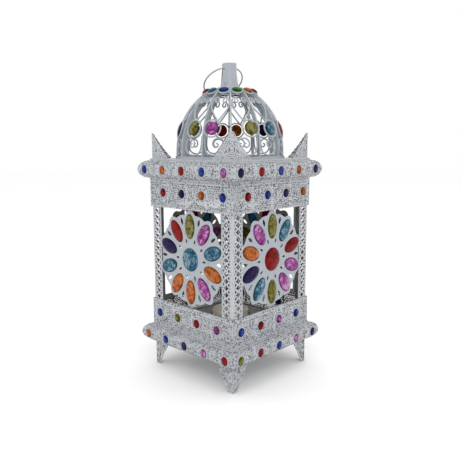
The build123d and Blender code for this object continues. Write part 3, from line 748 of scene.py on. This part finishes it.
class LANTERN_OT_rails(bpy.types.Operator):
    """Half-round rails of pierced sheet with mitred ends"""
    bl_idname = "lantern.rails"
    bl_label = "Rails"

    def execute(self, context):
        radius = sizes().rail_radius
        face = sizes().band_face
        pitch = sizes().jewel_pitch
        half = math.pi / 2 * radius
        tile = [(-pitch / 2, -half), (pitch / 2, -half), (pitch / 2, half), (-pitch / 2, half)]
        jewel, flower = -pitch / 4, pitch / 4
        holes = [oval(jewel, 0, 5.8, 6.3, 0, 20), oval(flower, 0, 1.0, 1.0)]
        holes += rosette(jewel, 0, 8.5, 9.6, 16, (1.2, 0.65))
        holes += rosette(flower, 0, 3.2, 3.2, 8, (1.3, 0.6), 0)
        holes += rosette(flower, 0, 6.6, 6.8, 12, (0.95, 0.7))
        for edge in (-half + 2.2, half - 2.2):
            holes += bead_row(pitch, edge, 0.85, 0.6)
        holes = speckle(tile, holes, sizes().hole_pitch, sizes().hole, 0.75)
        master = cut_sheet("rail_master", tile, holes)
        repeat(master, pitch, 6)
        master.data.transform(Matrix.Translation((pitch / 4 - 3 * pitch, 0, 0)))
        slice_at(master, [half * (step / 7 - 1) for step in range(1, 14)], 1)
        bend(master, lambda x, y, z: (x, -face - radius * math.cos(y / radius),
                                      radius * math.sin(y / radius)))
        thicken(master, sizes().sheet, "pressed")
        trim(master, (0, 0, 0), (1, 1, 0), True)
        trim(master, (0, 0, 0), (-1, 1, 0), True)
        for row in ("lower", "upper"):
            for side in range(4):
                place = quarter_turn(side) @ Matrix.Translation((0, 0, RAIL_HEIGHTS[row]))
                rail = copy_to(master, f"pierced_{row}_rail_{SIDES[side]}", place)
                finish_piece(rail, [f"{row}_rail_{SIDES[side]}"])
        drop(master)
        return {"FINISHED"}


class LANTERN_OT_bands(bpy.types.Operator):
    """Flat bands of pierced sheet behind the rails"""
    bl_idname = "lantern.bands"
    bl_label = "Bands"

    def execute(self, context):
        face = sizes().band_face
        pitch = sizes().jewel_pitch
        jewel, flower = -pitch / 4, pitch / 4
        for row, way in (("lower", 1), ("upper", -1)):
            low, high = BAND_SPANS[row]
            centre = BAND_JEWEL_HEIGHTS[row]
            free = (high - centre) if way > 0 else (centre - low)
            hidden = (centre - low) if way > 0 else (high - centre)
            tile = [(-pitch / 2, -hidden), (pitch / 2, -hidden), (pitch / 2, free), (-pitch / 2, free)]
            shown = [(-pitch / 2, -21.5), (pitch / 2, -21.5), (pitch / 2, free), (-pitch / 2, free)]
            holes = [oval(jewel, 0, 5.7, 6.0, 0, 20), oval(flower, 0, 1.1, 1.1)]
            holes += rosette(jewel, 0, 8.6, 9.8, 16, (1.3, 0.7))
            holes += rosette(flower, 0, 3.6, 3.6, 8, (1.5, 0.65), 0)
            holes += rosette(flower, 0, 7.4, 7.4, 14, (1.1, 0.75))
            for edge in (free - 2.6, -17.6):
                holes += bead_row(pitch, edge, 0.9, 0.6)
            holes = speckle(shown, holes, sizes().hole_pitch, sizes().hole, 0.75)
            master = cut_sheet("band_master", tile, holes)
            repeat(master, pitch, 5)
            # the first whole tile's jewel is the first one on the side
            first = -1.5 * pitch - sizes().band_shift - jewel
            master.data.transform(Matrix.Translation((first - pitch, 0, 0)))
            thicken(master, sizes().sheet, "pressed")
            trim(master, (-face, 0, 0), (-1, 0, -1), True)
            trim(master, (face, 0, 0), (1, 0, -1), True)
            if way < 0:
                master.data.transform(Matrix.Rotation(math.pi, 4, "Z"))
            for side in range(4):
                band = copy_to(master, f"pierced_{row}_band_{SIDES[side]}", side_seat(side, 0, centre, face))
                finish_piece(band, [f"{row}_band_{SIDES[side]}"])
            drop(master)
        return {"FINISHED"}


class LANTERN_OT_posts(bpy.types.Operator):
    """Folded corner posts with a lattice in each flange"""
    bl_idname = "lantern.posts"
    bl_label = "Corner posts"

    def execute(self, context):
        fold = 2.0
        wide = sizes().post_width - fold * (1 - math.pi / 4)
        low, high = cad("corner_post_front_right", 0, 2), cad("corner_post_front_right", 1, 2)
        outline = [(-wide, low), (wide, low), (wide, high), (-wide, high)]
        motifs = 15
        pitch = (WINDOW[1] - WINDOW[0]) / motifs
        holes = []
        for hand in (-1, 1):
            middle = hand * (wide - 8.8)
            for motif in range(motifs):
                height = WINDOW[0] + pitch * (motif + 0.5)
                holes.append(star(middle, height, 4.6, 4.0))
                for across in (-1, 1):
                    holes.append(star(middle + across * 4.9, height + pitch / 2, 2.0, 2.7))
                    holes.append(oval(middle + across * 6.6, height, 0.8, 0.9, 0, 6))
        master = cut_sheet("post_master", outline, holes)
        slice_at(master, fold_lines(fold), 0)
        bend(master, corner_fold(sizes().post_face, fold))
        thicken(master, sizes().sheet, "chased")
        for corner in range(4):
            post = copy_to(master, f"lattice_post_{CORNERS[corner]}", quarter_turn(corner))
            finish_piece(post, [f"corner_post_{CORNERS[corner]}"])
        drop(master)
        return {"FINISHED"}


def star(x, y, wide, high):
    """Four-point diamond with slightly hollow sides."""
    ring = []
    for step in range(8):
        angle = math.pi / 4 * step
        reach = 1.0 if step % 2 == 0 else 0.64
        ring.append((x + wide * reach * math.cos(angle), y + high * reach * math.sin(angle)))
    return ring


def scalloped(start, end, bumps, depth, hollow):
    """Points from start to end along small scallops, on a line that sags by hollow."""
    points = []
    steps = bumps * 6
    run = (end[0] - start[0], end[1] - start[1])
    length = math.hypot(*run)
    across = (run[1] / length, -run[0] / length)
    for step in range(steps + 1):
        share = step / steps
        out = depth * (abs(math.sin(math.pi * bumps * share)) - 0.5) - hollow * 4 * share * (1 - share)
        points.append((start[0] + run[0] * share + across[0] * out,
                       start[1] + run[1] * share + across[1] * out))
    return points


def stand_on_corners(master, piece, node, fold, surface):
    """Fold a flat leaf down its middle, thicken it and set a copy on each of the four corners."""
    slice_at(master, fold_lines(fold), 0)
    bend(master, corner_fold(cad(f"{node}_front_right", 1, 0), fold))
    thicken(master, sizes().sheet, surface)
    for corner in range(4):
        copy = copy_to(master, f"{piece}_{CORNERS[corner]}", quarter_turn(corner))
        finish_piece(copy, [f"{node}_{CORNERS[corner]}"])
    drop(master)


class LANTERN_OT_horns(bpy.types.Operator):
    """Pierced leaves that stand on the corners of the roof"""
    bl_idname = "lantern.horns"
    bl_label = "Horns"

    def execute(self, context):
        node = "horn_front_right"
        base, tip = cad(node, 0, 2), cad(node, 1, 2)
        wide = cad(node, 1, 0) - cad(node, 0, 0) - 0.5
        right = scalloped((wide, base), (2.8, tip), 7, 0.8, 1.4)
        outline = right + [(-x, y) for x, y in reversed(right)]
        holes = []
        for hand in (-1, 1):
            holes.append(leaf(hand * 3.6, base + 23, 0.9, 3.6, hand * 0.12))
            holes.append(leaf(hand * 4.2, base + 13.5, 1.3, 4.2, hand * 0.2))
            holes.append(leaf(hand * 10.5, base + 11.5, 1.2, 4.4, hand * 0.75))
            holes += rosette(hand * 9.5, base + 4.2, 2.6, 2.2, 8, (0.75, 0.5))
            holes += rosette(hand * 20, base + 5.5, 3.2, 2.6, 8, (0.9, 0.55))
        holes = speckle(outline, holes, 3.1, 0.9, 0.7)
        master = cut_sheet("horn_master", outline, holes)
        stand_on_corners(master, "pierced_horn", "horn", 1.5, "chased")
        return {"FINISHED"}


class LANTERN_OT_feet(bpy.types.Operator):
    """Pierced, scalloped leaves that the lantern stands on"""
    bl_idname = "lantern.feet"
    bl_label = "Feet"

    def execute(self, context):
        node = "foot_front_right"
        top = cad(node, 1, 2)
        wide = cad(node, 1, 0) - cad(node, 0, 0) - 0.6
        shoulder = top - 12
        edge = scalloped((8.6, 0.4), (wide, shoulder), 8, 1.0, 0.6)
        right = [(7.0, 0.0)] + edge + [(wide, top)]
        outline = right + [(-x, y) for x, y in reversed(right)]
        holes = []
        for hand in (-1, 1):
            for height, reach in ((5.5, 3.6), (13.8, 4.2), (23, 4.6), (33, 5.2)):
                holes.append(leaf(hand * reach, height, 1.5, 3.9, hand * 0.15))
            holes += rosette(hand * 12.5, 26, 3.4, 3.4, 8, (1.2, 0.75))
            holes.append(oval(hand * 12.5, 26, 1.1, 1.1))
            holes.append(leaf(hand * 10.2, 15, 1.4, 3.6, hand * -0.45))
        holes = speckle(outline, holes, 3.1, 0.9, 0.7)
        master = cut_sheet("foot_master", outline, holes)
        stand_on_corners(master, "pierced_foot", "foot", 2.0, "pressed")
        return {"FINISHED"}


def flower_outline():
    """Scalloped edge of the flower: ten petal tips with a shallow valley between them."""
    long, wide, valley = 23.4, 13.6, 66.0
    reach = math.acos(0.7)
    points = []
    for petal in range(PETALS):
        axis = math.pi / 2 + 2 * math.pi * petal / PETALS
        for step in range(-6, 7):
            angle = reach * step / 6
            along = sizes().petal_radius + long * math.cos(angle)
            across = wide * math.sin(angle)
            points.append((along * math.cos(axis) - across * math.sin(axis),
                           along * math.sin(axis) + across * math.cos(axis)))
        between = axis + math.pi / PETALS
        points.append((valley * math.cos(between), valley * math.sin(between)))
    return points


def flower_sheet(name):
    """Pierced flower with raised rims round its petals and its centre, facing +Z."""
    radius = sizes().petal_radius
    holes = [oval(0, 0, 15.2, 15.8, 0, 32)]
    for petal in range(PETALS):
        axis = math.pi / 2 + 2 * math.pi * petal / PETALS
        holes.append(oval(radius * math.cos(axis), radius * math.sin(axis), 16.6, 8.8, axis, 24))
        between = axis + math.pi / PETALS
        for reach, wide, long in ((27.6, 1.6, 3.6), (57, 2.4, 5.6)):
            holes.append(leaf(reach * math.cos(between), reach * math.sin(between), wide, long,
                              between - math.pi / 2))
    sheet = cut_sheet(name, flower_outline(), holes)
    thicken(sheet, sizes().sheet)
    petal_steps = [(1.0, 0.4), (1.1, 0.5), (0.9, 0.3), (0.7, -0.1), (0.3, -0.6)]
    centre_steps = [(1.3, 0.5), (1.4, 0.5), (1.2, 0.3), (0.9, -0.1), (0.4, -0.6)]
    petal_rim = make_rim("petal_rim", (28.2, 43.8), petal_steps, 32, 0.4)
    centre_rim = make_rim("centre_rim", (43.2, 44.2), centre_steps, 40, 0.4)
    parts = [sheet, centre_rim]
    for petal in range(PETALS):
        turn = Matrix.Rotation(-2 * math.pi * petal / PETALS, 4, "Z")
        parts.append(copy_to(petal_rim, "rim", turn @ Matrix.Translation((0, radius, 0))))
    drop(petal_rim)
    return join_all(name, parts)


def border_strip(outer, inner):
    """Flat frame round the window."""
    wide, high = outer[0] / 2, outer[1] / 2
    narrow, low = inner[0] / 2, inner[1] / 2
    outline = [(-wide, -high), (wide, -high), (wide, high), (-wide, high)]
    opening = [(-narrow, -low), (narrow, -low), (narrow, low), (-narrow, low)]
    strip = cut_sheet("border", outline, [opening])
    thicken(strip, sizes().sheet)
    return strip


class LANTERN_OT_flowers(bpy.types.Operator):
    """Pressed flowers in the three fixed windows"""
    bl_idname = "lantern.flowers"
    bl_label = "Flower panels"

    def execute(self, context):
        face = -cad("flower_panel_front", 0, 1)
        width = 2 * cad("flower_panel_front", 1, 0)
        height = cad("flower_panel_front", 1, 2) - cad("flower_panel_front", 0, 2)
        opening = (2 * (sizes().post_face - sizes().post_width), WINDOW[1] - WINDOW[0])
        master = join_all("flower_master", [border_strip((width, height), opening), flower_sheet("flower")])
        for side in range(4):
            if side != BACK:
                panel = copy_to(master, f"pressed_flower_{SIDES[side]}",
                                side_seat(side, 0, WINDOW_CENTRE, face - 0.02))
                finish_piece(panel, [f"flower_panel_{SIDES[side]}"])
        drop(master)
        return {"FINISHED"}


class LANTERN_OT_door(bpy.types.Operator):
    """Pressed flower of the door, on its border"""
    bl_idname = "lantern.door"
    bl_label = "Door"

    def execute(self, context):
        face = cad("door_panel", 1, 1)
        width = 2 * cad("door_panel", 1, 0)
        height = cad("door_panel", 1, 2) - cad("door_panel", 0, 2)
        flower = flower_sheet("door_flower")
        for side in (-1, 1):
            trim(flower, (side * (width / 2 - 2), 0, 0), (side, 0, 0))
            trim(flower, (0, side * (height / 2 - 0.5), 0), (0, side, 0))
        panel = join_all("door_panel_pressed",
                         [border_strip((width, height), (width - 11, height - 11)), flower])
        panel.data.transform(side_seat(BACK, 0, WINDOW_CENTRE, face))
        finish_piece(panel, ["door_panel"], "door")
        return {"FINISHED"}


class LANTERN_OT_bezels(bpy.types.Operator):
    """Rubbed-over oval bezels that hold the jewels of the rails and bands"""
    bl_idname = "lantern.bezels"
    bl_label = "Bezels"

    def execute(self, context):
        masters = {}
        for kind in ("rail", "band"):
            wide, high, _ = JEWEL_SIZES[kind]
            masters[kind] = make_rim(f"{kind}_bezel", (wide + 1.6, high + 1.6),
                                     [(0.3, 0.45), (0.3, 0.15), (0.2, -0.35)], 20, 0.4)
        parts = []
        for _, kind, _, matrix in all_seats():
            if kind in masters:
                sunk = Matrix.Translation((0, 0, 1.9 if kind == "rail" else 0.0))
                parts.append(copy_to(masters[kind], "bezel", matrix @ sunk))
        drop(*masters.values())
        finish_piece(join_all("jewel_bezels", parts), [], material=finish("smooth"))
        return {"FINISHED"}


class LANTERN_OT_jewels(bpy.types.Operator):
    """Faceted glass jewels, those of one colour on one body together"""
    bl_idname = "lantern.jewels"
    bl_label = "Jewels"

    def execute(self, context):
        stones = {}
        for kind, (wide, high, rise) in JEWEL_SIZES.items():
            sides = 14 if kind in ("rail", "band") else 20
            girdle = 0.6 if kind == "rail" else 0.35
            stones[kind] = make_stone(f"{kind}_stone", (wide, high), rise, sides, girdle)
        groups = {}
        for body, kind, colour, matrix in all_seats():
            stone = copy_to(stones[kind], "stone", matrix)
            stone.data.materials.append(finish(colour))
            # slot 1: a darker copy of the glass, painted shade on the sloping facets
            stone.data.materials.append(finish(f"{colour}_edge"))
            groups.setdefault((body, colour), []).append(stone)
        drop(*stones.values())
        for (body, colour), parts in groups.items():
            on_door = body == "door"
            name = f"door_glass_{colour}" if on_door else f"glass_jewels_{colour}"
            node = "door_jewels" if on_door else f"jewels_{colour}"
            finish_piece(join_all(name, parts), [node], body, 1)
        return {"FINISHED"}


def wire_piece(name, points, diameter):
    """Round wire along a smooth curve through control points, as a mesh."""
    drawing = bpy.data.curves.new(name, "CURVE")
    drawing.dimensions = "3D"
    drawing.bevel_depth = diameter / 2
    drawing.bevel_resolution = 2
    drawing.use_fill_caps = True
    spline = drawing.splines.new("NURBS")
    spline.points.add(len(points) - 1)
    for point, place in zip(spline.points, points):
        point.co = (*place, 1)
    spline.order_u = 4
    spline.use_endpoint_u = True
    spline.resolution_u = 3
    piece = bpy.data.objects.new(name, drawing)
    bpy.context.collection.objects.link(piece)
    select_only(piece)
    bpy.ops.object.convert(target="MESH")
    return bpy.context.object


def on_dome(across, height, sunk):
    """Point on the dome's skin at a distance round from the bay's middle and a height."""
    wide, tall, centre = DOME
    radius = (wide - sunk) * math.sqrt(max(0, 1 - ((height - centre) / (tall - sunk)) ** 2))
    angle = across / wide if radius > 60 else across / max(radius, 30)
    return (radius * math.cos(angle), radius * math.sin(angle), height)


class LANTERN_OT_dome(bpy.types.Operator):
    """Jewel rings, hearts and C-scrolls of wire between the dome's ribs"""
    bl_idname = "lantern.dome"
    bl_label = "Dome wires"

    def execute(self, context):
        wire = sizes().wire
        bpy.ops.mesh.primitive_torus_add(major_radius=LOWER_RING[1], minor_radius=wire / 2,
                                         major_segments=32, minor_segments=8)
        lower = bpy.context.object
        bpy.ops.mesh.primitive_torus_add(major_radius=UPPER_RING[1], minor_radius=wire / 2,
                                         major_segments=28, minor_segments=8)
        upper = bpy.context.object
        rings = []
        for bay in range(BAYS):
            rings.append(copy_to(lower, "ring", dome_seat(bay_angle(bay) + RING_SHIFTS[bay], LOWER_RING[0])))
            rings.append(copy_to(upper, "ring", dome_seat(bay_angle(bay), UPPER_RING[0])))
        drop(lower, upper)
        finish_piece(join_all("wire_jewel_rings", rings), ["dome_jewel_rings"],
                     material=finish("smooth"))
        # half a heart: from its point up along the rib and over into a curl
        half_heart = [(0.3, 372), (4, 376), (9, 381.5), (12.6, 386), (13.6, 392), (12.0, 399), (8.6, 404.5),
                      (4.4, 405.5), (2.2, 402), (3.6, 398), (7.2, 397.5), (8.4, 400.5), (6.6, 402.2)]
        # C-scroll: down along one rib, round the bottom, up the other side and into a curl
        scroll = [(18.4, 352), (18.6, 342), (17.5, 331.5), (11.5, 326), (2, 325.2), (-8, 327.5), (-14, 335),
                  (-12.5, 344.5), (-4.5, 349.8), (4, 347.5), (6.8, 340.5), (2.6, 335.2), (-3.2, 337.4),
                  (-2.8, 342.0), (0.8, 341.6)]
        hearts = []
        scrolls = []
        for bay in range(BAYS):
            turn = Matrix.Rotation(math.radians(bay_angle(bay)), 4, "Z")
            for hand in (-1, 1):
                points = [on_dome(hand * across, height, wire) for across, height in half_heart]
                half = wire_piece("heart", points, wire)
                half.data.transform(turn)
                hearts.append(half)
            hand = 1 if bay % 2 == 0 else -1
            points = [on_dome(hand * across, height, wire) for across, height in scroll]
            curl = wire_piece("scroll", points, wire)
            curl.data.transform(turn)
            scrolls.append(curl)
        finish_piece(join_all("wire_hearts", hearts), ["dome_heart_scrolls"],
                     material=finish("smooth"))
        finish_piece(join_all("wire_scrolls", scrolls), ["dome_lower_scrolls"],
                     material=finish("smooth"))
        return {"FINISHED"}


class LANTERN_OT_stem(bpy.types.Operator):
    """Stem rolled from sheet, with its lapped seam and the ring's two holes"""
    bl_idname = "lantern.stem"
    bl_label = "Stem"

    def execute(self, context):
        low, high = cad("stem_tube", 0, 2), cad("stem_tube", 1, 2)
        wide = cad("stem_tube", 1, 0)
        narrow = 11.75
        sheet = 0.9
        lap = 14.0
        seam = 200.0
        hole_angle = 71.3
        pivot = 450.0
        outline = [(0, low), (360 + lap, low), (360 + lap, high), (0, high)]
        degree = math.degrees(1 / narrow)
        holes = []
        for angle in (hole_angle, hole_angle + 180):
            holes.append(oval((angle - seam) % 360, pivot, 2 * degree, 2, 0, 12))
        stem = cut_sheet("rolled_stem", outline, holes)
        slice_at(stem, [(360 + lap) * step / 60 for step in range(1, 60)], 0)
        slice_at(stem, [low + 1.2, low + 3, low + 6, high - 1.5], 1)

        def shape(x, y, z):
            share = (y - low) / (high - low)
            radius = wide - sheet + (narrow - wide) * min(1.0, share * 1.6)
            radius += sheet * math.exp(-6 * share)
            lifted = min(1.0, max(0.0, (x - 360 + lap) / 10))
            radius += sheet * lifted * lifted * (3 - 2 * lifted) - sheet
            angle = math.radians(x + seam)
            return (radius * math.cos(angle), radius * math.sin(angle), y)
        bend(stem, shape)
        thicken(stem, 0.85)
        finish_piece(stem, ["stem_tube"])
        return {"FINISHED"}


class LANTERN_OT_candle(bpy.types.Operator):
    """Candle with a rounded shoulder and a shallow melted pool, and its curled wick"""
    bl_idname = "lantern.candle"
    bl_label = "Candle"

    def execute(self, context):
        low, high = cad("candle", 0, 2), cad("candle", 1, 2)
        radius = cad("candle", 1, 0)
        bpy.ops.mesh.primitive_cylinder_add(vertices=64, radius=radius, depth=high - low - 2,
                                            location=(0, 0, (high + low) / 2 - 1))
        wax = bpy.context.object
        wax.name = "poured_candle"
        bpy.ops.object.transform_apply(location=True)
        draw_up(wax, [(0.5, 1.1), (0.9, 0.7), (1.4, 0.2), (1.6, -0.3), (3.0, -1.3), (6.0, -0.9), (8.0, -0.2),
                      (5.2, 0.4)])
        bpy.ops.object.mode_set(mode="OBJECT")
        finish_piece(wax, ["candle"], "candle_body", 60, finish("wax"))
        top = cad("wick", 1, 2)
        points = [(0, 0, high - 4), (0, 0, high - 1), (0.1, 0, high + 1.5), (0.15, 0.1, high + 3.5),
                  (0.1, 0.1, top - 1.2), (-0.1, 0, top - 0.4)]
        wick = wire_piece("curled_wick", points, 1.4)
        finish_piece(wick, ["wick"], "candle_body", 60, finish("cotton"))
        return {"FINISHED"}


class LANTERN_OT_finishes(bpy.types.Operator):
    """Finishes of the parts that keep their built shape"""
    bl_idname = "lantern.finishes"
    bl_label = "Finishes"

    def execute(self, context):
        for name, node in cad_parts.items():
            if node.hide_render:
                continue
            kind = "steel" if name in ("hinge_pins", "latch_rivet", "bail_ring") else "smooth"
            if name in ("base_plate", "top_plate"):
                kind = "chased"
            node.data.materials.clear()
            node.data.materials.append(finish(kind))
        return {"FINISHED"}


class LANTERN_OT_stage(bpy.types.Operator):
    """Pale floor, soft studio lights and the camera"""
    bl_idname = "lantern.stage"
    bl_label = "Stage"

    def execute(self, context):
        bpy.ops.object.select_all(action="DESELECT")
        bpy.ops.mesh.primitive_plane_add(size=12)
        floor = context.object
        floor.name = "studio_floor"
        material, shader, place = new_finish("matt_white_board")
        grain = add_node(material, "ShaderNodeTexNoise", {"Scale": per_metre(2), "Detail": 3},
                         {"Vector": place})
        tint = add_node(material, "ShaderNodeValToRGB", None, {"Fac": grain.outputs["Fac"]})
        set_ramp(tint, [(0.3, linear("FCFCFC")), (0.7, linear("FFFFFF"))])
        add_links(material, shader, {"Base Color": tint.outputs["Color"]})
        shader.inputs["Roughness"].default_value = 0.9
        floor.data.materials.append(material)
        world = bpy.data.worlds.new("studio")
        world.use_nodes = True
        world.node_tree.nodes["Background"].inputs["Color"].default_value = linear("FFFFFF")
        world.node_tree.nodes["Background"].inputs["Strength"].default_value = 1.0
        context.scene.world = world
        self.add_light("key", (1.3, -1.3, 1.5), 0.7, 7)
        self.add_light("fill", (-1.6, -1.0, 1.0), 1.0, 2)
        self.add_light("top", (0.1, 0.2, 1.9), 1.2, 5)
        lens = bpy.data.cameras.new("lantern_camera")
        lens.lens = 42.68
        lens.sensor_width = 36
        camera = bpy.data.objects.new("lantern_camera", lens)
        camera.location = (0.5707, -0.5953, 0.341)
        camera.rotation_euler = (math.radians(81.03), math.radians(0.21), math.radians(43.79))
        context.collection.objects.link(camera)
        context.scene.camera = camera
        context.scene.view_settings.view_transform = "Standard"
        return {"FINISHED"}

    def add_light(self, name, place, size, power):
        lamp = bpy.data.lights.new(f"{name}_light", "AREA")
        lamp.size = size
        lamp.energy = power
        light = bpy.data.objects.new(f"{name}_light", lamp)
        light.location = place
        light.rotation_euler = (Vector((0, 0, 0.22)) - Vector(place)).to_track_quat("-Z", "Y").to_euler()
        bpy.context.collection.objects.link(light)


OPERATORS = [LANTERN_OT_rails, LANTERN_OT_bands, LANTERN_OT_posts, LANTERN_OT_horns, LANTERN_OT_feet,
             LANTERN_OT_flowers, LANTERN_OT_door, LANTERN_OT_bezels, LANTERN_OT_jewels, LANTERN_OT_dome,
             LANTERN_OT_stem, LANTERN_OT_candle, LANTERN_OT_finishes, LANTERN_OT_stage]


class LANTERN_PT_panel(bpy.types.Panel):
    """Sizes, colours and pieces of the lantern"""
    bl_idname = "LANTERN_PT_panel"
    bl_label = "Pierced Candle Lantern"
    bl_space_type = "VIEW_3D"
    bl_region_type = "UI"
    bl_category = "Lantern"

    def draw(self, context):
        for group in (context.scene.lantern_sizes, context.scene.lantern_colours):
            for name in group.__annotations__:
                self.layout.prop(group, name)
        for operator in OPERATORS:
            self.layout.operator(operator.bl_idname)


CLASSES = [LanternSizes, LanternColours] + OPERATORS + [LANTERN_PT_panel]


def register():
    for each in CLASSES:
        bpy.utils.register_class(each)
    bpy.types.Scene.lantern_sizes = bpy.props.PointerProperty(type=LanternSizes)
    bpy.types.Scene.lantern_colours = bpy.props.PointerProperty(type=LanternColours)


def unregister():
    del bpy.types.Scene.lantern_colours
    del bpy.types.Scene.lantern_sizes
    for each in reversed(CLASSES):
        bpy.utils.unregister_class(each)


def main():
    register()
    bpy.ops.lantern.rails()
    bpy.ops.lantern.bands()
    bpy.ops.lantern.posts()
    bpy.ops.lantern.horns()
    bpy.ops.lantern.feet()
    bpy.ops.lantern.flowers()
    bpy.ops.lantern.door()
    bpy.ops.lantern.bezels()
    bpy.ops.lantern.jewels()
    bpy.ops.lantern.dome()
    bpy.ops.lantern.stem()
    bpy.ops.lantern.candle()
    bpy.ops.lantern.finishes()
    bpy.ops.lantern.stage()


if __name__ == "__main__":
    main()
